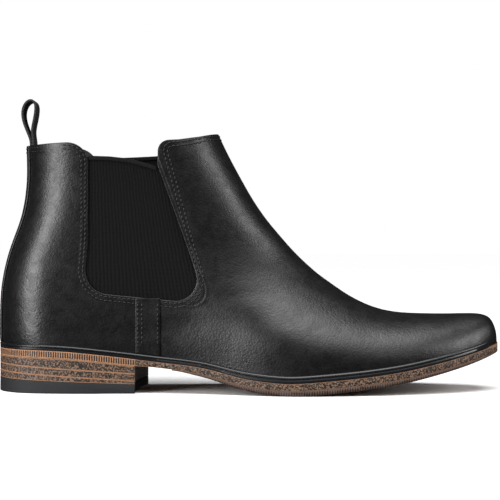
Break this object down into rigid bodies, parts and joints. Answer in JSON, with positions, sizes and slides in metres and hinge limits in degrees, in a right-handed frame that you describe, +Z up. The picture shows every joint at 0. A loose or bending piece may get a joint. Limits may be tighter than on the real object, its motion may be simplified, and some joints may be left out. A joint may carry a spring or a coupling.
{
  "type": "chelsea boot",
  "caption": "Leather ankle boot with elastic side gussets, webbing pull loop, welted leather sole and low stacked heel.",
  "frame": {"origin": "middle of the boot's length and width, on the ground under the sole", "axes": "+X from heel to toe, +Z up, +Y to the medial (inner) side of this right boot"},
  "size_m": [0.3084, 0.0986, 0.1797],
  "materials": {
    "upper_leather": "fine-grain calf, semi-gloss, lightly creased",
    "elastic": "ribbed woven elastic, matte",
    "webbing": "woven tape, matte",
    "lining_leather": "smooth lining leather, matte",
    "interlining": "dark cotton interlining",
    "stiffener_board": "fibre stiffener",
    "insole_leather": "vegetable-tanned insole leather",
    "shank_steel": "spring steel strip",
    "filler_cork": "cork filler",
    "welt_leather": "dressed and polished welt",
    "sole_leather": "edge-dressed sole leather",
    "tread_leather": "ribbed sole edge, natural",
    "heel_leather": "stacked lifts, dark dressed edge",
    "top_piece_rubber": "matte heel rubber",
    "nail_steel": "heel nails"
  },
  "bodies": {
    "boot": {"vamp": "upper_leather", "quarter_lateral": "upper_leather", "quarter_medial": "upper_leather", "backstay": "upper_leather", "side_strap_lateral": "upper_leather", "side_strap_medial": "upper_leather", "gusset_lateral": "elastic", "gusset_medial": "elastic", "gusset_binding_lateral": "webbing", "gusset_binding_medial": "webbing", "vamp_lining": "lining_leather", "quarter_lining": "lining_leather", "vamp_interlining": "interlining", "quarter_interlining": "interlining", "toe_puff": "stiffener_board", "heel_counter": "stiffener_board", "pull_loop_tail": "webbing", "footbed": "lining_leather", "insole_board": "insole_leather", "shank": "shank_steel", "bottom_filler": "filler_cork", "welt": "welt_leather", "outsole": "sole_leather", "forepart_tread": "tread_leather", "heel_lift_1": "heel_leather", "heel_lift_2": "heel_leather", "heel_lift_wedge": "heel_leather", "heel_top_piece": "top_piece_rubber", "heel_nails": "nail_steel"},
    "pull_loop": {"pull_loop": "webbing"}
  },
  "joints": [
    {"name": "pull_loop_tilt", "type": "hinge", "parent": "boot", "child": "pull_loop", "pos_m": [-0.13323, 0.00306, 0.1525], "axis": [0, 1, 0], "range_deg": [-75, 75], "stiffness_Nm_per_rad": 0.02}
  ]
}
